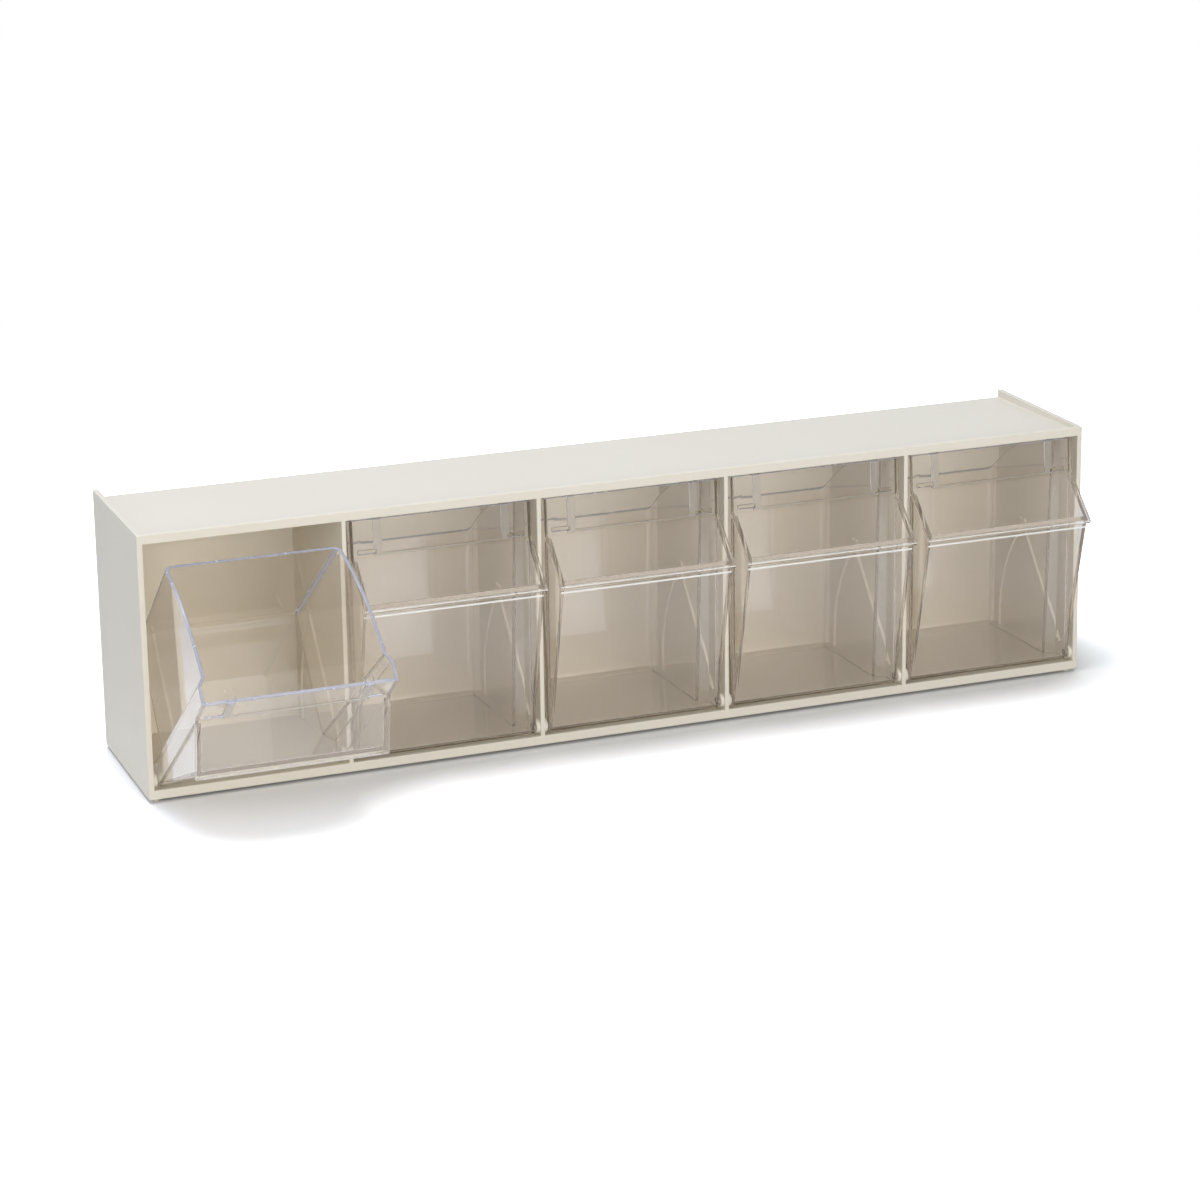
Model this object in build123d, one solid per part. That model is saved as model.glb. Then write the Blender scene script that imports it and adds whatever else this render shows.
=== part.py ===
from build123d import *
import math
import os

# Housing: a long shallow case, open at the front, with its own wall between each two bins.
# Lengths are in millimetres. While a piece is drawn, y = 0 is the housing's front plane
# and z = 0 is the lower edge of its front frame.
housing_length = 600.0
housing_height = 158.0
housing_depth = 106.7
bay_count = 5
side_wall = 3.4
divider_wall = 2.6
back_wall = 2.5
top_plate = 2.2
floor_plate = 2.0
floor_top = 3.0
frame_top_height = 5.6
frame_bottom_height = 5.7
frame_depth = 3.0
top_drop_front = 2.8
top_drop_back = 4.8
outer_corner_round = 1.0

# Rails under the side walls drop inside the end ridges of a housing below.
rail_depth = 2.0
rail_width = 3.2
stacking_clearance = 0.3
rail_end_setback = 4.0

# Screw holes through the back wall, behind the second and fourth bins.
screw_hole_radius = 2.5
screw_hole_height = 136.0

# Ribs on the bay sides: a quarter ring round the pivot and a straight stop across its end.
rib_height = 1.5
rib_width = 2.4
ring_rib_reach = 0.953
stop_rib_angle = 51.0
stop_rib_offset = 4.6
stop_rib_start = 9.0
stop_rib_overrun = 3.0

# Pivot of every bin, its pins and the bosses that carry them.
pivot_y = 5.8
pivot_z = 10.7
open_angle = 54.0
pin_radius = 2.0
pin_fit = 0.05
pin_reach = 3.6
pin_end_chamfer = 0.4
seat_depth = 4.2
boss_radius = 4.2
boss_height = 2.2
boss_front_setback = 0.8

# Bin: one clear moulding, drawn closed. Its front fills the bay less a gap on each side,
# and its nose and its rear part step in from there.
bin_wall = 2.0
bin_side_gap = 2.68
nose_step = 1.3
rear_step_top = 3.1
rear_step_bottom = 7.1
nose_shoulder_y = 1.5
joggle_front_y = 14.7
joggle_rear_y = 19.7
bin_top_gap = 1.4
front_top_y = 2.9
lip_root_y = 1.5
lip_root_z = 129.5
lip_tip_y = -24.9
lip_tip_z = 104.1
lip_thickness = 2.6
lip_edge_round = 0.8
nose_top_y = -20.4
nose_top_z = 99.6
nose_foot_y = 0.0
nose_foot_z = 15.0
heel_gap = 7.6
heel_z = 4.0
heel_round = 7.0
rear_top_gap = 4.7
rear_top_z = 107.8
rear_corner_round = 5.0
shoulder_front_drop = 0.7
shoulder_rear_drop = 1.7
side_edge_sagitta = 5.8

# Label frame on the bin's upright front: two bars and a ledge, with a slot at each end.
label_bar_width = 5.0
label_bar_inset = 16.6
label_relief = 0.8
label_ledge_height = 1.4
label_slot_length = 11.0
label_slot_height = 2.2
label_slot_end_wall = 2.6
label_slot_rise = 1.2

# The part stands on its rails, with the origin under the middle of its outline.
front_plane_y = 1.59

bay_width = (housing_length - 2 * side_wall - (bay_count - 1) * divider_wall) / bay_count
bay_pitch = bay_width + divider_wall
bay_centres = [(index - (bay_count - 1) / 2) * bay_pitch for index in range(bay_count)]
inner_back_y = housing_depth - back_wall

bin_front_width = bay_width - 2 * bin_side_gap
bin_nose_width = bin_front_width - 2 * nose_step
bin_rear_width_top = bin_front_width - 2 * rear_step_top
bin_rear_width_bottom = bin_front_width - 2 * rear_step_bottom
front_top_z = housing_height - frame_top_height - bin_top_gap
shoulder_front_z = front_top_z - shoulder_front_drop
shoulder_rear_z = front_top_z - shoulder_rear_drop
heel_y = inner_back_y - heel_gap
rear_top_y = inner_back_y - rear_top_gap
ring_rib_radius = math.hypot(heel_y - pivot_y, heel_z - pivot_z) + ring_rib_reach
label_bar_centre = bin_front_width / 2 - label_bar_inset


def block(x_low, x_high, y_low, y_high, z_low, z_high):
    """A box between two limits on each axis."""
    size = (x_high - x_low, y_high - y_low, z_high - z_low)
    middle = ((x_low + x_high) / 2, (y_low + y_high) / 2, (z_low + z_high) / 2)
    return Pos(*middle) * Box(*size)


def side_profile(points):
    """A flat face in the side view, from (y, z) corners."""
    return Plane.YZ * make_face(Polyline(*points, close=True))


def across(face, width):
    """The side-view face made solid to both sides of the middle plane."""
    return extrude(face, amount=width / 2, both=True)


def meeting_point(start_a, end_a, start_b, end_b):
    """The point where two straight lines in the side view cross."""
    run_a = (end_a[0] - start_a[0], end_a[1] - start_a[1])
    run_b = (end_b[0] - start_b[0], end_b[1] - start_b[1])
    spread = run_a[0] * run_b[1] - run_a[1] * run_b[0]
    gap = (start_b[0] - start_a[0], start_b[1] - start_a[1])
    share = (gap[0] * run_b[1] - gap[1] * run_b[0]) / spread
    return (start_a[0] + share * run_a[0], start_a[1] + share * run_a[1])


def along(start, end, distance):
    """The point a distance beyond the end of a line in the side view."""
    share = distance / math.hypot(end[0] - start[0], end[1] - start[1])
    return (end[0] + (end[0] - start[0]) * share, end[1] + (end[1] - start[1]) * share)


front_top = (front_top_y, front_top_z)
lip_root = (lip_root_y, lip_root_z)
lip_tip = (lip_tip_y, lip_tip_z)
nose_top = (nose_top_y, nose_top_z)
nose_foot = (nose_foot_y, nose_foot_z)
heel = (heel_y, heel_z)
rear_top = (rear_top_y, rear_top_z)
shoulder_front = (joggle_front_y, shoulder_front_z)
shoulder_rear = (joggle_rear_y, shoulder_rear_z)


def toe_circle():
    """Radius of the bin's toe: the nose line touches this circle round the pivot."""
    length = math.hypot(nose_foot[0] - nose_top[0], nose_foot[1] - nose_top[1])
    run = ((nose_foot[0] - nose_top[0]) / length, (nose_foot[1] - nose_top[1]) / length)
    return abs((pivot_y - nose_foot[0]) * run[1] - (pivot_z - nose_foot[1]) * run[0])


def toe_corner():
    """Where the nose line and the floor line would cross without the toe's round."""
    under_pivot = (pivot_y, pivot_z - toe_circle())
    return meeting_point(nose_top, nose_foot, under_pivot, heel)


def bin_side_face():
    """The bin's outline in the side view, without its lip, with the toe and heel rounded."""
    nose_tip = meeting_point(lip_root, lip_tip, nose_top, nose_foot)
    chord = (rear_top[0] - shoulder_rear[0], rear_top[1] - shoulder_rear[1])
    length = math.hypot(*chord)
    middle = (
        (rear_top[0] + shoulder_rear[0]) / 2 - chord[1] / length * side_edge_sagitta,
        (rear_top[1] + shoulder_rear[1]) / 2 + chord[0] / length * side_edge_sagitta,
    )
    front = [toe_corner(), nose_tip, lip_root, front_top]
    straight = Polyline(rear_top, heel, *front, shoulder_front, shoulder_rear)
    face = make_face([*straight.edges(), ThreePointArc(shoulder_rear, middle, rear_top)])
    face = fillet(corner_at(face, heel), heel_round)
    face = fillet(corner_at(face, toe_corner()), toe_circle())
    return Plane.YZ * face


def corner_at(face, point):
    """The corner of a flat face that lies nearest a point."""
    return face.vertices().sort_by_distance(Vector(*point, 0))[0]


def cavity_side_face():
    """The hollow of the bin in the side view, run out above its rim."""
    nose_tip = meeting_point(lip_root, lip_tip, nose_top, nose_foot)
    above = 20.0
    front_above = along(lip_root, front_top, above)
    rear_above = along(heel, rear_top, above + front_top_z - rear_top_z)
    outline = Polyline(rear_above, heel, toe_corner(), nose_tip, lip_root, front_above, close=True)
    face = make_face(outline)
    face = fillet(corner_at(face, heel), heel_round)
    face = fillet(corner_at(face, toe_corner()), toe_circle())
    return Plane.YZ * offset(face, -bin_wall)


def cross_section(half_low, half_high, low, high, y):
    """The bin's width at one place along its depth, as an upright face."""
    corners = [(-half_low, low), (half_low, low), (half_high, high), (-half_high, high)]
    return Pos(0, y, 0) * (Plane.XZ * make_face(Polyline(*corners, close=True)))


def rear_mould(inset):
    """The tapered rear part with its joggles, as wide as the bin less an inset."""
    low, high = heel_z - 10.0, front_top_z + 30.0
    slope = (bin_rear_width_top - bin_rear_width_bottom) / 2 / (shoulder_rear_z - heel_z)
    half_low, half_high = [bin_rear_width_bottom / 2 + (z - heel_z) * slope - inset for z in (low, high)]
    wide = bin_front_width / 2 - inset
    narrow = cross_section(half_low, half_high, low, high, joggle_rear_y)
    joggle = loft([cross_section(wide, wide, low, high, joggle_front_y), narrow], ruled=True)
    trough = extrude(narrow, amount=2 * heel_y, dir=(0, 1, 0))
    lean = (rear_top_y - heel_y) / (rear_top_z - heel_z)
    back_low, back_high = [(heel_y + (z - heel_z) * lean - inset, z) for z in (low - 1, high + 1)]
    front_low, front_high = (joggle_front_y, low - 1), (joggle_front_y, high + 1)
    trough = trough & across(side_profile([front_low, back_low, back_high, front_high]), housing_length)
    upright = trough.edges().filter_by(lambda edge: abs(edge.tangent_at(0.5).Z) > 0.9)
    corners = upright.sort_by(Axis.Y)[-2:]
    return joggle + fillet(corners, rear_corner_round - inset)


def front_mould(inset):
    """The wide part ahead of the joggles and the slightly narrower nose."""
    tall = (heel_z - 10.0, front_top_z + 30.0)
    wide = bin_front_width / 2 - inset
    nose = bin_nose_width / 2 - inset
    collar = block(-wide, wide, nose_shoulder_y, joggle_front_y, *tall)
    return collar + block(-nose, nose, lip_tip_y - 5, nose_shoulder_y, *tall)


def lip():
    """The sloping grip lip that stands proud of the nose."""
    length = math.hypot(lip_tip[0] - lip_root[0], lip_tip[1] - lip_root[1])
    run = ((lip_tip[0] - lip_root[0]) / length, (lip_tip[1] - lip_root[1]) / length)
    under = (-run[1] * lip_thickness, run[0] * lip_thickness)
    low_tip = (lip_tip[0] + under[0], lip_tip[1] + under[1])
    low_root = (lip_root[0] + under[0], lip_root[1] + under[1])
    plate = across(side_profile([lip_root, lip_tip, low_tip, low_root]), bin_front_width)
    long_edges = plate.edges().filter_by(Axis.X).sort_by(Axis.Y)
    return fillet(long_edges[:2], lip_edge_round)


def label_frame():
    """Two upright bars and a ledge on the outside of the bin's front."""
    lean = (front_top_y - lip_root_y) / (front_top_z - lip_root_z)
    top_y = front_top_y - label_relief
    root_y = lip_root_y - label_relief
    ledge_z = lip_root_z + label_ledge_height
    ledge_y = lip_root_y + lean * label_ledge_height
    root = [(lip_root_y + 1, lip_root_z), (root_y, lip_root_z)]
    bar = across(side_profile([*root, (top_y, front_top_z), (front_top_y + 1, front_top_z)]), label_bar_width)
    ledge_top = [(ledge_y - label_relief, ledge_z), (ledge_y + 1, ledge_z)]
    ledge = across(side_profile([*root, *ledge_top]), 2 * label_bar_centre)
    return Pos(-label_bar_centre, 0, 0) * bar + Pos(label_bar_centre, 0, 0) * bar + ledge


def label_slots():
    """The two slots through the front, outside the label bars."""
    outer = bin_front_width / 2 - bin_wall - label_slot_end_wall
    low = lip_root_z + label_slot_rise
    limits = (lip_root_y - 3, front_top_y + 2, low, low + label_slot_height)
    left = block(-outer, -outer + label_slot_length, *limits)
    return left + block(outer - label_slot_length, outer, *limits)


def pin(side):
    """A pivot pin on one side of the bin."""
    root = bin_front_width / 2 - bin_wall / 2
    length = bin_wall / 2 + pin_reach
    shaft = chamfer(Cylinder(pin_radius, length).edges().group_by(Axis.Z)[-1], pin_end_chamfer)
    return Pos(side * (root + length / 2), pivot_y, pivot_z) * Rot(0, side * 90, 0) * shaft


def closed_bin():
    """One bin in its closed position, centred on its bay."""
    wide = housing_length
    outside = across(bin_side_face(), wide) & (front_mould(0) + rear_mould(0))
    hollow = across(cavity_side_face(), wide) & (front_mould(bin_wall) + rear_mould(bin_wall))
    shell = outside + lip() - hollow + label_frame() - label_slots()
    for side in (-1, 1):
        shell = shell + pin(side)
    return shell


def opened(closed):
    """A closed bin turned forward on its pivot to its stop."""
    axis = Axis((0, pivot_y, pivot_z), (1, 0, 0))
    return closed.rotate(axis, open_angle)


def case_shell():
    """The case with its bays cut out, the recessed top and the frame round the front."""
    half = housing_length / 2
    case = block(-half, half, 0, housing_depth, 0, housing_height)
    upright = case.edges().filter_by(Axis.Z)
    case = fillet(upright, outer_corner_round)
    plate_front = housing_height - top_drop_front
    plate_back = housing_height - top_drop_back
    recess = [
        (frame_depth, housing_height + 1),
        (frame_depth, plate_front),
        (housing_depth + 1, plate_back),
        (housing_depth + 1, housing_height + 1),
    ]
    case = case - across(side_profile(recess), housing_length - 2 * side_wall)
    inside = half - side_wall
    return case - block(-inside, inside, frame_depth, housing_depth + 1, -1, floor_top - floor_plate)


def bay_cutters():
    """One bay's hollow behind the frame and its opening through the frame."""
    half = bay_width / 2
    hollow = [
        (frame_depth, floor_top),
        (frame_depth, housing_height - top_drop_front - top_plate),
        (inner_back_y, housing_height - top_drop_back - top_plate),
        (inner_back_y, floor_top),
    ]
    inside = across(side_profile(hollow), bay_width)
    mouth = block(-half, half, -1, frame_depth + 1, frame_bottom_height, housing_height - frame_top_height)
    return inside + mouth


def pivot_boss(side):
    """The pivot boss that fills the gap between a bay's side and its bin."""
    face_x = side * (bay_width / 2 - boss_height / 2)
    run = pivot_y - boss_front_setback - boss_radius
    ring = Pos(face_x, pivot_y, pivot_z) * Rot(0, 90, 0) * Cylinder(boss_radius, boss_height)
    front = Pos(face_x, pivot_y - run, pivot_z) * Rot(0, 90, 0) * Cylinder(boss_radius, boss_height)
    neck = Pos(face_x, pivot_y - run / 2, pivot_z) * Box(boss_height, run, 2 * boss_radius)
    return ring + front + neck


def pin_seat(side):
    """The round seat of one pin, through the boss and into the wall behind it."""
    depth = seat_depth + 1
    middle = bay_width / 2 - boss_height + seat_depth / 2 - 0.5
    return Pos(side * middle, pivot_y, pivot_z) * Rot(0, 90, 0) * Cylinder(pin_radius + pin_fit, depth)


def guide_ribs(side):
    """The ring rib that follows the bin's heel and the straight stop rib across its end."""
    ring = Cylinder(ring_rib_radius, rib_height) - Cylinder(ring_rib_radius - rib_width, rib_height)
    turn = math.radians(stop_rib_angle)
    reach = ring_rib_radius + 10
    toward = (math.cos(turn) * reach, math.sin(turn) * reach)
    sector = make_face(Polyline((0, 0), (reach * 2, -reach), toward, close=True))
    wedge = extrude(sector, rib_height, both=True)
    bar_length = ring_rib_radius + stop_rib_overrun - stop_rib_start
    bar = Rot(0, 0, stop_rib_angle) * Pos(stop_rib_start + bar_length / 2, -stop_rib_offset, 0) * Box(
        bar_length, rib_width, rib_height
    )
    ribs = (ring & wedge) + bar
    face_x = side * (bay_width / 2 - rib_height / 2)
    flat = Plane(origin=(face_x, pivot_y, pivot_z), x_dir=(0, 1, 0), z_dir=(1, 0, 0))
    room = block(-bay_width, bay_width, 0, inner_back_y + 1, floor_top - 1, housing_height)
    return (flat * ribs) & room


def rail(side):
    """A rail under one side wall, just inside the line of the end ridge."""
    outer = housing_length / 2 - side_wall - stacking_clearance
    inner = outer - rail_width
    length = (rail_end_setback, housing_depth - rail_end_setback)
    return block(*sorted((side * inner, side * outer)), *length, -rail_depth, floor_top - floor_plate / 2)


def screw_holes():
    """Two wall screw holes, behind the bins next to the end ones."""
    drill = Rot(90, 0, 0) * Cylinder(screw_hole_radius, 4 * back_wall)
    middle_y = housing_depth - back_wall / 2
    return [Pos(centre, middle_y, screw_hole_height) * drill for centre in (bay_centres[1], bay_centres[-2])]


def housing():
    """The whole housing in one moulding."""
    case = case_shell()
    for centre in bay_centres:
        case = case - Pos(centre, 0, 0) * bay_cutters()
    for centre in bay_centres:
        for side in (-1, 1):
            case = case + Pos(centre, 0, 0) * pivot_boss(side) + Pos(centre, 0, 0) * guide_ribs(side)
    for centre in bay_centres:
        for side in (-1, 1):
            case = case - Pos(centre, 0, 0) * pin_seat(side)
    for side in (-1, 1):
        case = case + rail(side)
    for hole in screw_holes():
        case = case - hole
    return case


def placed(piece):
    """Moves a drawn piece to its place in the part."""
    return Pos(0, front_plane_y, rail_depth) * piece


closed = closed_bin()
nodes = {"housing": placed(housing())}
for number, centre in enumerate(bay_centres, start=1):
    posed = opened(closed) if number == 1 else closed
    nodes[f"bin_{number}"] = placed(Pos(centre, 0, 0) * posed)

os.makedirs("parts", exist_ok=True)
for name, shape in nodes.items():
    shape.label = name
    export_step(shape, f"parts/{name}.step")
    box = shape.bounding_box()
    print(name, len(shape.solids()), "solids, valid", shape.is_valid, "volume", round(shape.volume, 1))
    print("    from", box.min, "to", box.max)
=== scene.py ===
"""Looks of a tilt-out bin rail: one ivory housing and five clear bins, the first of them open."""

import logging
import math
from dataclasses import dataclass, field
from enum import Enum
from typing import Any

import bpy
from mathutils import Matrix, Vector


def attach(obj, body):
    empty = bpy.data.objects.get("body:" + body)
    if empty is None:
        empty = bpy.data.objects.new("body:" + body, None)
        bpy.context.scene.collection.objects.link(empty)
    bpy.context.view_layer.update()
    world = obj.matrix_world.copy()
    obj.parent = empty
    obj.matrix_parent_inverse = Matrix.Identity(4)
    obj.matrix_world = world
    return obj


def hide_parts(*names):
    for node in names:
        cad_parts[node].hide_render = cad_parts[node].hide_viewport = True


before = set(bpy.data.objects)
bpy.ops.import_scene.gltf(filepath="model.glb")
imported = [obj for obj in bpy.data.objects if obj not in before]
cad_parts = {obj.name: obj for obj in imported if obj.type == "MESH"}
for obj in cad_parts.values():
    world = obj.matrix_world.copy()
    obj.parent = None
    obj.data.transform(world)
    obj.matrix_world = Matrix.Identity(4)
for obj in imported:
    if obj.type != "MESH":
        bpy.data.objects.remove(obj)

log = logging.getLogger("tilt_out_bin_rail")

MM = 0.001
# Points that lie nearer to each other than this are one point.
WELD_MM = 0.005
# How far a point may lie from the place where it is looked for.
SLACK_MM = 0.01
# Faces that meet at less than this are parts of one flat.
FLAT_DEG = 0.4
# Edges that turn by more than this are rounded.
SHARP_DEG = 40.0
# Edges that turn by less than this are shaded as one curve.
SMOOTH_DEG = 35.0
# How far the first bin is tilted at rest.
OPEN_DEG = 54.0
WHITE = (1.0, 1.0, 1.0, 1.0)


class Body(Enum):
    """The moving bodies of the part, by the names that the joints use."""

    CASE = "case"
    BIN_1 = "bin_1_body"
    BIN_2 = "bin_2_body"
    BIN_3 = "bin_3_body"
    BIN_4 = "bin_4_body"
    BIN_5 = "bin_5_body"


class Slot(Enum):
    """The material slots of the record, by their names."""

    IVORY = "ivory_plastic"
    CLEAR = "clear_plastic"


class Finish(Enum):
    """The finishes of a bin's faces, by their place in its list of materials."""

    WALL = 0
    # Edges drawn with a painted glow.
    PAINTED_RIM_GLOW = 1
    FRAME = 2
    # Edges drawn with a painted highlight.
    PAINTED_LIP_HIGHLIGHT = 3


def srgb(code: str) -> tuple[float, float, float, float]:
    """Turn a hex colour into linear light.

    Args:
        code: Six hex digits, such as "CFC9BB".

    Returns:
        Linear red, green, blue and an alpha of one.
    """
    levels = [int(code[i : i + 2], 16) / 255 for i in (0, 2, 4)]
    linear = [v / 12.92 if v <= 0.04045 else ((v + 0.055) / 1.055) ** 2.4 for v in levels]
    return (linear[0], linear[1], linear[2], 1.0)


def limits(taken: tuple[float, float], given: tuple[float, float]) -> dict[str | int, Any]:
    """Name the limits between which a map range node takes and gives its value."""
    return dict(zip(("From Min", "From Max", "To Min", "To Max"), taken + given))


def add_node(
    tree: bpy.types.NodeTree, kind: str, settings: dict[str | int, Any], **links: Any
) -> bpy.types.Node:
    """Add a shader node, set its properties and sockets, and link what feeds it.

    In a mix of colours, sockets 6 and 7 take the colours and output 2 gives their mix.

    Args:
        tree: The node tree that gets the node.
        kind: The node's type name.
        settings: Property names in lower case, socket names or socket numbers, with their values.
        links: Socket names with underscores for spaces, or at_ with a socket's number, and the
            outputs that feed them.

    Returns:
        The new node.
    """
    node = tree.nodes.new(kind)
    for name, value in settings.items():
        if isinstance(name, int) or name in node.inputs:
            node.inputs[name].default_value = value
        else:
            setattr(node, name, value)
    for name, output in links.items():
        key = int(name.removeprefix("at_")) if name.startswith("at_") else name.replace("_", " ")
        tree.links.new(output, node.inputs[key])
    return node


def blank_material(name: str) -> bpy.types.Material:
    """Make a node material with no nodes in it yet.

    Args:
        name: The material's name.

    Returns:
        The new material.
    """
    material = bpy.data.materials.new(name)
    material.use_nodes = True
    material.node_tree.nodes.clear()
    return material


@dataclass(frozen=True)
class MouldedIvory:
    """High-impact polystyrene, injection moulded in a finely sparked tool and dyed ivory.

    It gives the eye a soft satin sheen, whiter at a low angle, with the faintest drift of tone
    where the melt flowed and a fine even grain.
    """

    name: str = "moulded ivory polystyrene"
    colour: str = "DDD7CA"
    ior: float = 1.5
    roughness: tuple[float, float] = (0.38, 0.5)
    flow_colour: str = "D8D1C2"
    flow_mm: float = 90.0
    flow_detail: float = 3.0
    grain_mm: float = 0.9
    grain_detail: float = 2.0
    grain_span: tuple[float, float] = (0.3, 0.7)
    grain_depth_mm: float = 0.012
    grain_strength: float = 0.5

    def build(self) -> bpy.types.Material:
        """Build the material.

        Returns:
            The finished material.
        """
        material = blank_material(self.name)
        tree = material.node_tree
        place = add_node(tree, "ShaderNodeTexCoord", {})
        flow = add_node(
            tree,
            "ShaderNodeTexNoise",
            {"Scale": 1 / (self.flow_mm * MM), "Detail": self.flow_detail},
            Vector=place.outputs["Object"],
        )
        # The grain is drawn about three times as coarse as it is, so that the render can show it.
        grain = add_node(
            tree,
            "ShaderNodeTexNoise",
            {"Scale": 1 / (self.grain_mm * MM), "Detail": self.grain_detail},
            Vector=place.outputs["Object"],
        )
        tone = add_node(
            tree,
            "ShaderNodeMix",
            {"data_type": "RGBA", 6: srgb(self.colour), 7: srgb(self.flow_colour)},
            Factor=flow.outputs["Fac"],
        )
        sheen = add_node(
            tree,
            "ShaderNodeMapRange",
            limits(self.grain_span, self.roughness),
            Value=grain.outputs["Fac"],
        )
        bump = add_node(
            tree,
            "ShaderNodeBump",
            {"Strength": self.grain_strength, "Distance": self.grain_depth_mm * MM},
            Height=grain.outputs["Fac"],
        )
        shader = add_node(
            tree,
            "ShaderNodeBsdfPrincipled",
            {"IOR": self.ior},
            Base_Color=tone.outputs[2],
            Roughness=sheen.outputs["Result"],
            Normal=bump.outputs["Normal"],
        )
        add_node(tree, "ShaderNodeOutputMaterial", {}, Surface=shader.outputs["BSDF"])
        return material


def finish_clear(
    tree: bpy.types.NodeTree,
    surface: bpy.types.NodeSocket,
    shadow_tint: str,
    spent_tint: str,
    wall_bounces: int,
) -> None:
    """Finish a clear material so that light reaches what is behind it and long runs in a wall end.

    The light of the lamps and of pale surfaces nearby passes straight through. Where a ray has
    turned back inside a wall for long, the wall is drawn as a matt surface in the spent tint, lit
    by the lamps: painted light that stands in for what would come out of such thick corners, so
    they turn pale and not black.

    Args:
        tree: The material's node tree.
        surface: The output of the clear shader.
        shadow_tint: The colour of the light that passes, as six hex digits.
        spent_tint: The painted colour, lit by the lamps, that thick corners take, as six hex
            digits.
        wall_bounces: How many times a wall turns light back before it is scattered.
    """
    path = add_node(tree, "ShaderNodeLightPath", {})
    # The threshold lies half a bounce below the number, because the depth is a whole number.
    long_run = add_node(
        tree,
        "ShaderNodeMath",
        {"operation": "GREATER_THAN", 1: wall_bounces - 0.5},
        at_0=path.outputs["Glossy Depth"],
    )
    # Painted light: past the bounce limit the wall is drawn as a lamp-lit matt surface in the spent
    # tint.
    spent = add_node(tree, "ShaderNodeBsdfDiffuse", {"Color": srgb(spent_tint)})
    seen = add_node(
        tree,
        "ShaderNodeMixShader",
        {},
        at_0=long_run.outputs["Value"],
        at_1=surface,
        at_2=spent.outputs["BSDF"],
    )
    lights = add_node(
        tree,
        "ShaderNodeMath",
        {"operation": "MAXIMUM"},
        at_0=path.outputs["Is Shadow Ray"],
        at_1=path.outputs["Diffuse Depth"],
    )
    passes = add_node(
        tree, "ShaderNodeMath", {"operation": "MINIMUM", 1: 1.0}, at_0=lights.outputs["Value"]
    )
    through = add_node(tree, "ShaderNodeBsdfTransparent", {"Color": srgb(shadow_tint)})
    mixed = add_node(
        tree,
        "ShaderNodeMixShader",
        {},
        at_0=passes.outputs["Value"],
        at_1=seen.outputs["Shader"],
        at_2=through.outputs["BSDF"],
    )
    add_node(tree, "ShaderNodeOutputMaterial", {}, Surface=mixed.outputs["Shader"])


@dataclass(frozen=True)
class ClearPolystyrene:
    """Crystal polystyrene, injection moulded in a polished tool.

    It gives the eye a hard bright gloss and a clear view through, with a slight waviness in what is
    seen, and a painted warm grey, lit by the lamps, where light has run inside the walls for long.
    """

    name: str = "clear polystyrene"
    tint: str = "FFFEFE"
    shadow_tint: str = "FFFDFA"
    spent_tint: str = "BDB2A4"
    ior: float = 1.59
    roughness: tuple[float, float] = (0.015, 0.05)
    wave_mm: float = 28.0
    wave_detail: float = 1.0
    wave_depth_mm: float = 0.004
    wave_strength: float = 0.6
    haze_mm: float = 35.0
    haze_detail: float = 4.0
    haze_span: tuple[float, float] = (0.4, 0.75)
    wall_bounces: int = 2

    def build(self) -> bpy.types.Material:
        """Build the material.

        Returns:
            The finished material.
        """
        material = blank_material(self.name)
        tree = material.node_tree
        place = add_node(tree, "ShaderNodeTexCoord", {})
        wave = add_node(
            tree,
            "ShaderNodeTexNoise",
            {"Scale": 1 / (self.wave_mm * MM), "Detail": self.wave_detail},
            Vector=place.outputs["Object"],
        )
        haze = add_node(
            tree,
            "ShaderNodeTexNoise",
            {"Scale": 1 / (self.haze_mm * MM), "Detail": self.haze_detail},
            Vector=place.outputs["Object"],
        )
        polish = add_node(
            tree,
            "ShaderNodeMapRange",
            limits(self.haze_span, self.roughness),
            Value=haze.outputs["Fac"],
        )
        bump = add_node(
            tree,
            "ShaderNodeBump",
            {"Strength": self.wave_strength, "Distance": self.wave_depth_mm * MM},
            Height=wave.outputs["Fac"],
        )
        clear = add_node(
            tree,
            "ShaderNodeBsdfPrincipled",
            {"Base Color": srgb(self.tint), "Transmission Weight": 1.0, "IOR": self.ior},
            Roughness=polish.outputs["Result"],
            Normal=bump.outputs["Normal"],
        )
        surface = clear.outputs["BSDF"]
        finish_clear(tree, surface, self.shadow_tint, self.spent_tint, self.wall_bounces)
        return material


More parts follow.
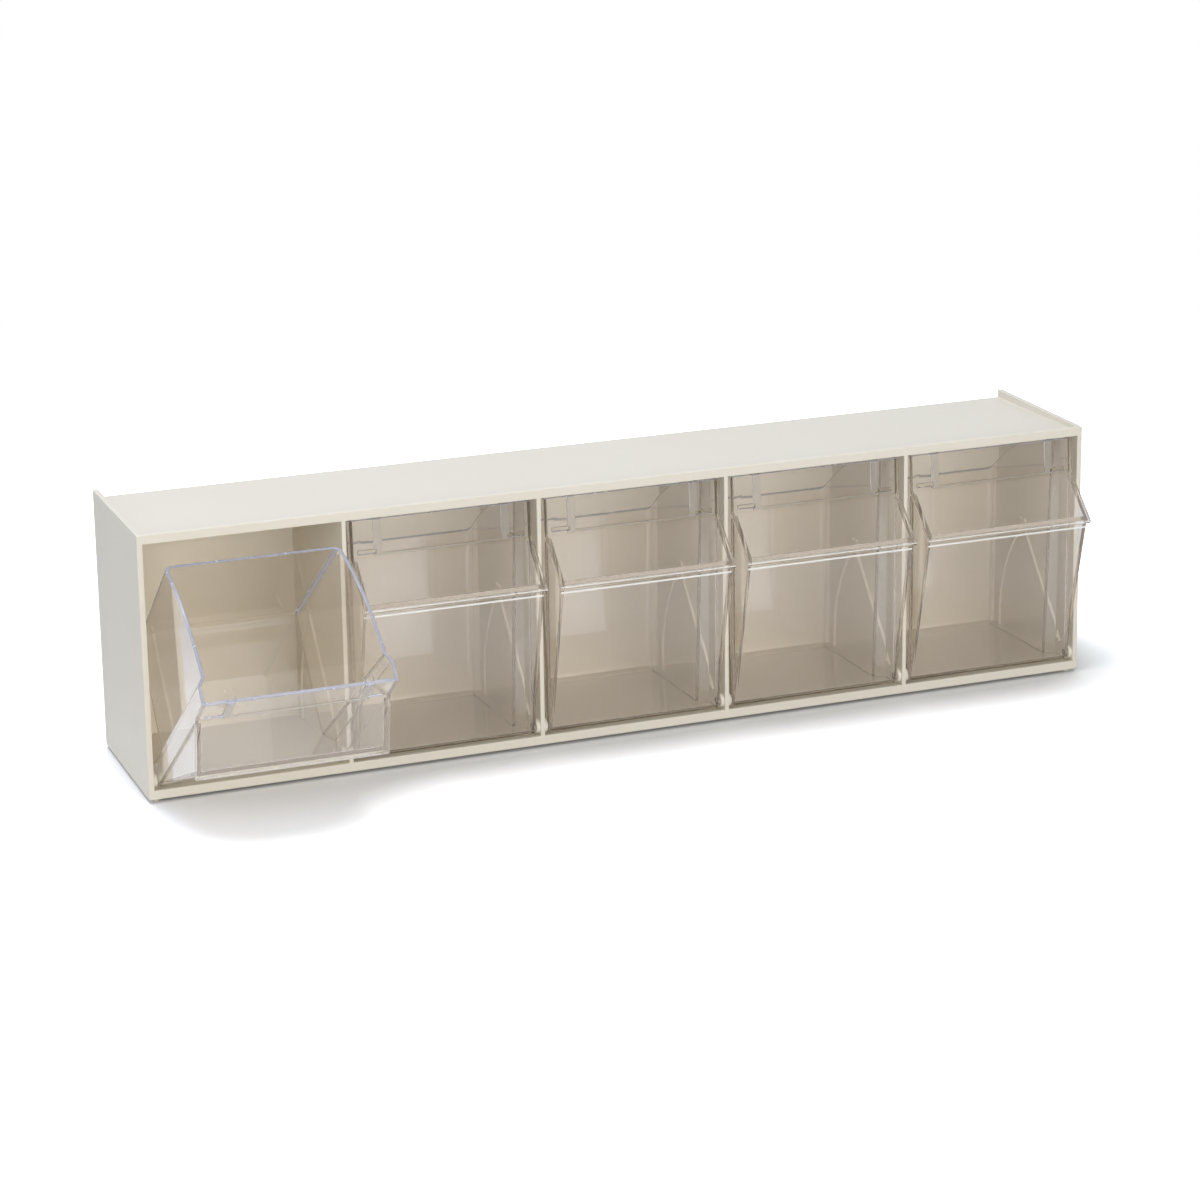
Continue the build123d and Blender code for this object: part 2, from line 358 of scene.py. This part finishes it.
@dataclass(frozen=True)
class ClearEdge:
    """The narrow edge of a crystal polystyrene wall, partly matt so that the lamps light it.

    Its pale blue is the plastic's own tint, and its brightness is a painted glow in place of the
    light that runs inside the wall and comes out at its edge: a pale blue line along every rim,
    brighter than the wall that it ends.
    """

    name: str = "clear polystyrene edge with painted glow"
    tint: str = "C3CCE6"
    shadow_tint: str = "FAFAFC"
    spent_tint: str = "C6C8D4"
    ior: float = 1.59
    clearness: float = 0.65
    roughness: tuple[float, float] = (0.12, 0.3)
    ripple_mm: float = 6.0
    ripple_detail: float = 2.0
    ripple_span: tuple[float, float] = (0.35, 0.7)
    wall_bounces: int = 2

    def build(self) -> bpy.types.Material:
        """Build the material.

        Returns:
            The finished material.
        """
        material = blank_material(self.name)
        tree = material.node_tree
        place = add_node(tree, "ShaderNodeTexCoord", {})
        ripple = add_node(
            tree,
            "ShaderNodeTexNoise",
            {"Scale": 1 / (self.ripple_mm * MM), "Detail": self.ripple_detail},
            Vector=place.outputs["Object"],
        )
        polish = add_node(
            tree,
            "ShaderNodeMapRange",
            limits(self.ripple_span, self.roughness),
            Value=ripple.outputs["Fac"],
        )
        edge = add_node(
            tree,
            "ShaderNodeBsdfPrincipled",
            {
                "Base Color": srgb(self.tint),
                "Transmission Weight": self.clearness,
                "IOR": self.ior,
            },
            Roughness=polish.outputs["Result"],
        )
        surface = edge.outputs["BSDF"]
        finish_clear(tree, surface, self.shadow_tint, self.spent_tint, self.wall_bounces)
        return material


# Painted highlight: a near-white, mostly matt polystyrene on the strips where the lip and the nose
# round over, lit by the lamps. It draws the two bright white lines along each lip that reflections
# draw on the real bins.
LIP_PAINTED_HIGHLIGHT = ClearEdge(
    name="painted highlight of the lip's round edges",
    tint="F7F6F3",
    shadow_tint="FBFAF8",
    clearness=0.25,
    roughness=(0.15, 0.25),
    ripple_mm=9.0,
)

# Crystal polystyrene from a matt patch of the tool. It gives the eye a thin milky veil over what
# lies behind the label frame.
FROSTED_FRAME = ClearEdge(
    name="frosted polystyrene of the label frame",
    tint="E6E4E0",
    shadow_tint="FBFAF8",
    clearness=0.87,
    roughness=(0.28, 0.36),
    ripple_mm=4.0,
)


def select_only(thing: bpy.types.Object) -> None:
    """Select one object and make it active, with everything else left out.

    Args:
        thing: The object.
    """
    bpy.ops.object.select_all(action="DESELECT")
    thing.select_set(True)
    bpy.context.view_layer.objects.active = thing


def merged_copy(node: str, name: str) -> bpy.types.Object:
    """Take a copy of a CAD node with its doubled points merged and its flats made whole.

    Args:
        node: The CAD node's name.
        name: The new piece's name.

    Returns:
        The new piece, with its place in its mesh.
    """
    piece = bpy.data.objects.new(name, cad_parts[node].data.copy())
    bpy.context.scene.collection.objects.link(piece)
    piece.data.materials.clear()
    select_only(piece)
    bpy.ops.object.mode_set(mode="EDIT")
    bpy.ops.mesh.select_all(action="SELECT")
    bpy.ops.mesh.remove_doubles(threshold=WELD_MM * MM)
    bpy.ops.mesh.dissolve_limited(angle_limit=math.radians(FLAT_DEG))
    bpy.ops.object.mode_set(mode="OBJECT")
    return piece


def soften(piece: bpy.types.Object, edge_mm: float) -> None:
    """Round a piece's sharp edges as a mould leaves them, and keep its flats flat.

    Args:
        piece: The piece.
        edge_mm: The radius that the tool leaves on each sharp edge.
    """
    select_only(piece)
    bevel = piece.modifiers.new("tool radius", "BEVEL")
    bevel.width = edge_mm * MM
    bevel.segments = 2
    bevel.limit_method = "ANGLE"
    bevel.angle_limit = math.radians(SHARP_DEG)
    bevel.use_clamp_overlap = False
    bpy.ops.object.modifier_apply(modifier=bevel.name)
    bpy.ops.object.shade_smooth_by_angle(angle=math.radians(SMOOTH_DEG))
    flats = piece.modifiers.new("true flats", "WEIGHTED_NORMAL")
    flats.keep_sharp = True
    flats.weight = 100
    bpy.ops.object.modifier_apply(modifier=flats.name)


@dataclass
class Housing:
    """The ivory case that carries the bins."""

    edge_mm: float = 0.3
    brow_mm: float = 0.9
    brow_steps: int = 4
    brow_top_mm: float = 160.0
    front_mm: float = 1.59
    corner_mm: float = 1.0
    side_mm: float = 298.9
    sill_mm: float = 2.0
    pieces: list[bpy.types.Object] = field(default_factory=list)

    def round_brow(self, shell: bpy.types.Object) -> None:
        """Round the long top and bottom edges of the front frame.

        Args:
            shell: The housing's moulding.
        """
        select_only(shell)
        bpy.ops.object.mode_set(mode="EDIT")
        bpy.ops.mesh.select_mode(type="EDGE")
        bpy.ops.mesh.select_all(action="DESELECT")
        bpy.ops.object.mode_set(mode="OBJECT")
        front = self.front_mm + SLACK_MM
        for edge in shell.data.edges:
            ends = [shell.data.vertices[i].co / MM for i in edge.vertices]
            ahead = all(end.y < self.front_mm + self.corner_mm + SLACK_MM for end in ends)
            brow = all(end.z > self.brow_top_mm - SLACK_MM for end in ends)
            sill = all(abs(end.z - self.sill_mm) < SLACK_MM for end in ends)
            outside = all(end.y < front or abs(end.x) > self.side_mm for end in ends)
            edge.select = ahead and outside and (brow or sill)
        bpy.ops.object.mode_set(mode="EDIT")
        bpy.ops.mesh.bevel(offset=self.brow_mm * MM, segments=self.brow_steps, affect="EDGES")
        bpy.ops.object.mode_set(mode="OBJECT")

    def build(self) -> None:
        """Model the housing's pieces."""
        shell = merged_copy("housing", "housing_moulding")
        self.round_brow(shell)
        soften(shell, self.edge_mm)
        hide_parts("housing")
        self.pieces.append(shell)

    def dress(self, ivory: bpy.types.Material) -> None:
        """Give the pieces their finish and their body.

        Args:
            ivory: The moulded ivory finish.
        """
        for piece in self.pieces:
            piece.data.materials.append(ivory)
            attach(piece, Body.CASE.value)


@dataclass
class TiltBin:
    """One clear bin.

    Places are given for the shut bin, as distances back and up in the part's frame. Of a face's
    direction the fields give the share along one axis, from 0 to 1.
    """

    number: int
    body: Body
    edge_mm: float = 0.3
    open_deg: float = 0.0
    pivot_mm: tuple[float, float] = (7.39, 12.7)
    square: float = 0.999
    level_mm: float = 0.1
    lip_tip_mm: tuple[float, float] = (-23.31, 106.1)
    lip_round_mm: float = 0.45
    lip_aside: float = 0.5
    shoulder_mm: tuple[float, float] = (-18.81, 101.6)
    shoulder_high_mm: float = 1.2
    nose_lean: float = 0.2366
    rim_above_mm: float = 105.0
    rim_behind_mm: float = 3.2
    rim_up: float = 0.35
    back_from_mm: float = 30.0
    corner_aside: tuple[float, float] = (0.3, 0.95)
    corner_back: float = 0.2
    panel_foot_mm: tuple[float, float] = (3.09, 131.5)
    panel_lean: float = 0.0651
    frame_above_mm: float = 0.3
    frame_proud_mm: float = 0.5
    frame_ahead: float = 0.9
    pieces: list[bpy.types.Object] = field(default_factory=list)

    def shut(self, point: Vector) -> Vector:
        """Turn a point of the bin as it stands into its place in the shut bin.

        Args:
            point: The point, in metres.

        Returns:
            Its place in the shut bin, in millimetres.
        """
        turn = Matrix.Rotation(math.radians(-self.open_deg), 3, "X")
        pivot = Vector((0, self.pivot_mm[0] * MM, self.pivot_mm[1] * MM))
        return (turn @ (point - pivot) + pivot) / MM

    def on_lip_highlight(self, point: Vector) -> bool:
        """Tell whether a point lies on the lip's front edge or on the shoulder just below it, where
        the lip's painted highlight goes.

        Args:
            point: The point, in the part's frame.

        Returns:
            True where it does.
        """
        place = self.shut(point)
        reaches = (
            (self.lip_tip_mm, self.lip_round_mm),
            (self.shoulder_mm, self.shoulder_high_mm / 4),
        )
        return any(math.dist((place.y, place.z), edge) < reach for edge, reach in reaches)

    def mark_shoulder_highlight(self, shell: bpy.types.Object) -> None:
        """Part the narrow shoulder of the nose, just below the lip, from the rest of its wall, so
        that it can take the lip's painted highlight.

        Args:
            shell: The bin's moulding.
        """
        select_only(shell)
        opened = Matrix.Rotation(math.radians(self.open_deg), 3, "X")
        pivot = Vector((0, *self.pivot_mm))
        down = Vector((0, math.sin(self.nose_lean), -math.cos(self.nose_lean)))
        outward = opened @ Vector((0, down.z, -down.y))
        middle = Vector((0, *self.shoulder_mm))
        for side in (-0.5, 0.5):
            cut = opened @ (middle + down * self.shoulder_high_mm * side - pivot) + pivot
            bpy.ops.object.mode_set(mode="EDIT")
            bpy.ops.mesh.select_mode(type="FACE")
            bpy.ops.mesh.select_all(action="DESELECT")
            bpy.ops.object.mode_set(mode="OBJECT")
            for face in shell.data.polygons:
                level = outward.dot(face.center - cut * MM)
                faces_out = face.normal.dot(outward) > self.square
                face.select = faces_out and abs(level) < self.level_mm * MM
            bpy.ops.object.mode_set(mode="EDIT")
            bpy.ops.mesh.bisect(plane_co=cut * MM, plane_no=opened @ down)
            bpy.ops.object.mode_set(mode="OBJECT")

    def build(self) -> None:
        """Model the bin's pieces."""
        shell = merged_copy(f"bin_{self.number}", f"clear_bin_{self.number}")
        self.mark_shoulder_highlight(shell)
        soften(shell, self.edge_mm)
        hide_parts(f"bin_{self.number}")
        self.pieces.append(shell)

    def finish_of(self, centre: Vector, normal: Vector) -> Finish:
        """Tell which finish a face has.

        Args:
            centre: The middle of the face, in the part's frame.
            normal: The way that it faces.

        Returns:
            The edge finish, with its painted glow, for the upper edges of the walls and, where the
            bin is open and light reaches them, the round corners at the back; the frame finish for
            the label frame's front; the lip's painted highlight for the edges of the lip and nose;
            and the wall finish for the rest.
        """
        shut = self.shut(centre)
        way = Matrix.Rotation(math.radians(-self.open_deg), 3, "X") @ normal
        rim = shut.z > self.rim_above_mm and shut.y > self.rim_behind_mm and way.z > self.rim_up
        turned = self.corner_aside[0] < abs(way.x) < self.corner_aside[1]
        corner = shut.y > self.back_from_mm and turned and way.y > self.corner_back
        # Painted glow: the rims, and the back corners of the open bin alone, take the edge finish
        # whose brightness stands in for light.
        if rim or (corner and self.open_deg > 0):
            return Finish.PAINTED_RIM_GLOW
        # Painted highlight: the lip's front edge and the nose's shoulder take a near-white finish
        # in place of the bright lines that reflections draw there.
        if abs(way.x) < self.lip_aside and self.on_lip_highlight(centre):
            return Finish.PAINTED_LIP_HIGHLIGHT
        panel_y = self.panel_foot_mm[0] + (shut.z - self.panel_foot_mm[1]) * self.panel_lean
        above = shut.z > self.panel_foot_mm[1] + self.frame_above_mm
        proud = above and shut.y < panel_y - self.frame_proud_mm
        return Finish.FRAME if proud and way.y < -self.frame_ahead else Finish.WALL

    def dress(self, finishes: list[bpy.types.Material]) -> None:
        """Give the pieces their finish and their body.

        Args:
            finishes: The materials, in the order of Finish.
        """
        for piece in self.pieces:
            for finish in finishes:
                piece.data.materials.append(finish)
            for face in piece.data.polygons:
                face.material_index = self.finish_of(face.center, face.normal).value
            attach(piece, self.body.value)


@dataclass(frozen=True)
class Lamp:
    """One soft lamp, with its place and its width and height in metres and its tint in hex."""

    name: str
    place: tuple[float, float, float]
    size: tuple[float, float]
    watts: float
    tint: str = "FFFFFF"
    mirrored: bool = True
    aim: tuple[float, float, float] = (0.0, 0.0, 0.08)

    def hang(self) -> None:
        """Hang the lamp, facing the middle of the part, and unseen through the clear walls."""
        bpy.ops.object.light_add(type="AREA", location=self.place)
        lamp = bpy.context.active_object
        lamp.name = self.name
        lamp.data.shape = "RECTANGLE"
        lamp.data.size, lamp.data.size_y = self.size
        lamp.data.energy = self.watts
        lamp.data.color = srgb(self.tint)[:3]
        lamp.visible_glossy = self.mirrored
        lamp.visible_transmission = False
        ahead = Vector(self.aim) - Vector(self.place)
        lamp.rotation_euler = ahead.to_track_quat("-Z", "Y").to_euler()


LAMPS = (
    Lamp("top softbox", (-0.6, 0.5, 2.1), (1.8, 1.2), 33.0, "F1F4FF"),
    Lamp("ceiling softbox", (0.0, -1.5, 1.9), (2.4, 0.8), 7.0),
    Lamp("front softbox", (0.1, -2.5, 0.7), (2.8, 0.6), 31.0, "FFFDFA", mirrored=False),
    Lamp("low strip", (0.1, -2.5, 0.22), (2.8, 0.4), 7.0, "FFFBF8", mirrored=False),
    Lamp("left softbox", (-2.1, -1.2, 0.8), (1.0, 0.8), 9.0, mirrored=False),
)


@dataclass
class Studio:
    """The pale floor, the white room, the lamps and the camera. Angles are in radians."""

    floor_width: float = 14.0
    floor_colour: str = "DADADA"
    floor_white: float = 1.85
    floor_painted_glow: tuple[float, float] = (1.2, 0.7)
    floor_fades_mm: tuple[float, float] = (220.0, 480.0)
    white_from_m: tuple[float, float] = (0.7, 1.3)
    fibres_per_mm: float = 0.9
    fibre_strength: float = 0.05
    fibre_depth_mm: float = 0.1
    # Painted contact shade: how dark the camera's floor is drawn where the part is near, and over
    # what distance.
    contact_white: float = 0.9
    contact_shade_mm: float = 60.0
    contact_span: tuple[float, float] = (0.5, 1.0)
    sky_light: tuple[float, float] = (0.22, 0.55)
    sky_span: tuple[float, float] = (-0.2, 0.6)
    sky_tint: tuple[float, float, float, float] = (0.85, 0.93, 1.0, 1.0)
    room_white: tuple[float, float] = (0.95, 1.0)
    room_span: tuple[float, float] = (-0.35, 0.25)
    camera_place: tuple[float, float, float] = (-0.72319, -1.8293, 0.6961)
    azimuth: float = 0.3662
    elevation: float = 0.2662
    roll: float = -0.0143
    lens_mm: float = 103.696
    sensor_mm: float = 36.0
    shift_y: float = -0.1
    clip_m: tuple[float, float] = (0.05, 60.0)

    def card(self) -> bpy.types.Material:
        """Build the floor's finish, a matt white card.

        The camera sees it bright, with a painted soft shade from an occlusion test where the part
        stands on it, on top of the lamps' own shadow, and plain white far off. Glossy and clear
        surfaces see a painted pool of light, a white that fades with the distance from the part,
        and everything else sees the card's own grey.

        Returns:
            The finished material.
        """
        material = blank_material("matt white card")
        tree = material.node_tree
        place = add_node(tree, "ShaderNodeTexCoord", {})
        fibre = add_node(
            tree,
            "ShaderNodeTexNoise",
            {"Scale": self.fibres_per_mm / MM},
            Vector=place.outputs["Object"],
        )
        bump = add_node(
            tree,
            "ShaderNodeBump",
            {"Strength": self.fibre_strength, "Distance": self.fibre_depth_mm * MM},
            Height=fibre.outputs["Fac"],
        )
        # Painted shade: the floor that the camera sees is darkened where the part stands near.
        near = add_node(
            tree, "ShaderNodeAmbientOcclusion", {"Distance": self.contact_shade_mm * MM}
        )
        painted_contact_shade = add_node(
            tree,
            "ShaderNodeMapRange",
            limits(self.contact_span, (self.contact_white, self.floor_white)),
            Value=near.outputs["AO"],
        )
        path = add_node(tree, "ShaderNodeLightPath", {})
        indirect = add_node(
            tree,
            "ShaderNodeMath",
            {"operation": "MAXIMUM"},
            at_0=path.outputs["Is Glossy Ray"],
            at_1=path.outputs["Is Transmission Ray"],
        )
        away = add_node(
            tree, "ShaderNodeVectorMath", {"operation": "LENGTH"}, at_0=place.outputs["Object"]
        )
        # Painted light: clear and glossy surfaces see the floor brighter near the part than far
        # off.
        fades = (self.floor_fades_mm[0] * MM, self.floor_fades_mm[1] * MM)
        mirrored = add_node(
            tree,
            "ShaderNodeMapRange",
            limits(fades, self.floor_painted_glow),
            Value=away.outputs["Value"],
        )
        plain = add_node(
            tree,
            "ShaderNodeMix",
            {"data_type": "RGBA", 6: srgb(self.floor_colour)},
            Factor=indirect.outputs["Value"],
            at_7=mirrored.outputs["Result"],
        )
        seen = add_node(
            tree,
            "ShaderNodeMix",
            {"data_type": "RGBA"},
            Factor=path.outputs["Is Camera Ray"],
            at_6=plain.outputs[2],
            at_7=painted_contact_shade.outputs["Result"],
        )
        matt = add_node(
            tree,
            "ShaderNodeBsdfDiffuse",
            {},
            Color=seen.outputs[2],
            Normal=bump.outputs["Normal"],
        )
        far = add_node(
            tree,
            "ShaderNodeMapRange",
            {"interpolation_type": "SMOOTHSTEP", **limits(self.white_from_m, (0.0, 1.0))},
            Value=away.outputs["Value"],
        )
        backdrop = add_node(
            tree,
            "ShaderNodeMath",
            {"operation": "MULTIPLY"},
            at_0=far.outputs["Result"],
            at_1=path.outputs["Is Camera Ray"],
        )
        white = add_node(tree, "ShaderNodeEmission", {"Color": WHITE, "Strength": 1.0})
        shown = add_node(
            tree,
            "ShaderNodeMixShader",
            {},
            at_0=backdrop.outputs["Value"],
            at_1=matt.outputs["BSDF"],
            at_2=white.outputs["Emission"],
        )
        add_node(tree, "ShaderNodeOutputMaterial", {}, Surface=shown.outputs["Shader"])
        return material

    def lay_floor(self) -> None:
        """Lay a pale floor that keeps the part's shadow."""
        bpy.ops.object.select_all(action="DESELECT")
        bpy.ops.mesh.primitive_plane_add(size=self.floor_width)
        floor = bpy.context.active_object
        floor.name = "floor"
        floor.data.materials.append(self.card())

    def light_sky(self) -> None:
        """Light the room evenly and show it white behind the part."""
        world = bpy.data.worlds.new("white room")
        bpy.context.scene.world = world
        world.use_nodes = True
        tree = world.node_tree
        tree.nodes.clear()
        path = add_node(tree, "ShaderNodeLightPath", {})
        indirect = add_node(
            tree,
            "ShaderNodeMath",
            {"operation": "MAXIMUM"},
            at_0=path.outputs["Is Glossy Ray"],
            at_1=path.outputs["Is Transmission Ray"],
        )
        way = add_node(tree, "ShaderNodeTexCoord", {})
        axes = add_node(tree, "ShaderNodeSeparateXYZ", {}, Vector=way.outputs["Generated"])
        room = add_node(
            tree,
            "ShaderNodeMapRange",
            {"interpolation_type": "SMOOTHSTEP", **limits(self.room_span, self.room_white)},
            Value=axes.outputs["Y"],
        )
        glow = add_node(
            tree,
            "ShaderNodeMapRange",
            limits(self.sky_span, self.sky_light),
            Value=axes.outputs["Y"],
        )
        sky = add_node(
            tree,
            "ShaderNodeBackground",
            {"Color": self.sky_tint},
            Strength=glow.outputs["Result"],
        )
        shown = add_node(
            tree, "ShaderNodeBackground", {"Color": WHITE}, Strength=room.outputs["Result"]
        )
        white = add_node(tree, "ShaderNodeBackground", {"Color": WHITE, "Strength": 1.0})
        unseen = add_node(
            tree,
            "ShaderNodeMixShader",
            {},
            at_0=indirect.outputs["Value"],
            at_1=sky.outputs["Background"],
            at_2=shown.outputs["Background"],
        )
        mixed = add_node(
            tree,
            "ShaderNodeMixShader",
            {},
            at_0=path.outputs["Is Camera Ray"],
            at_1=unseen.outputs["Shader"],
            at_2=white.outputs["Background"],
        )
        add_node(tree, "ShaderNodeOutputWorld", {}, Surface=mixed.outputs["Shader"])

    def set_camera(self) -> None:
        """Set the camera where the photograph was taken from."""
        a, e, r = self.azimuth, self.elevation, self.roll
        ahead = Vector((math.sin(a) * math.cos(e), math.cos(a) * math.cos(e), -math.sin(e)))
        level = Vector((math.cos(a), -math.sin(a), 0))
        upright = level.cross(ahead)
        right = math.cos(r) * level + math.sin(r) * upright
        up = -math.sin(r) * level + math.cos(r) * upright
        bpy.ops.object.camera_add(location=self.camera_place)
        camera = bpy.context.active_object
        camera.rotation_euler = Matrix((right, up, -ahead)).transposed().to_euler()
        camera.data.sensor_width = self.sensor_mm
        camera.data.lens = self.lens_mm
        camera.data.shift_y = self.shift_y
        camera.data.clip_start, camera.data.clip_end = self.clip_m
        bpy.context.scene.camera = camera

    def build(self) -> None:
        """Set up the whole studio."""
        self.lay_floor()
        self.light_sky()
        for lamp in LAMPS:
            lamp.hang()
        self.set_camera()


def main() -> None:
    """Build and dress the part and its studio in order."""
    logging.basicConfig(level=logging.INFO, format="%(name)s: %(message)s")
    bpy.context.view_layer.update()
    bpy.context.scene.view_settings.view_transform = "Standard"
    ivory = MouldedIvory().build()
    clear_kinds = (ClearPolystyrene(), ClearEdge(), FROSTED_FRAME, LIP_PAINTED_HIGHLIGHT)
    finishes = [kind.build() for kind in clear_kinds]
    housing = Housing()
    housing.build()
    housing.dress(ivory)
    made = list(housing.pieces)
    for number, body in enumerate(list(Body)[1:], start=1):
        clear_bin = TiltBin(number, body, open_deg=OPEN_DEG if number == 1 else 0.0)
        clear_bin.build()
        clear_bin.dress(finishes)
        made += clear_bin.pieces
    Studio().build()
    for piece in made:
        log.info("%s has %d faces", piece.name, len(piece.data.polygons))


if __name__ == "__main__":
    main()
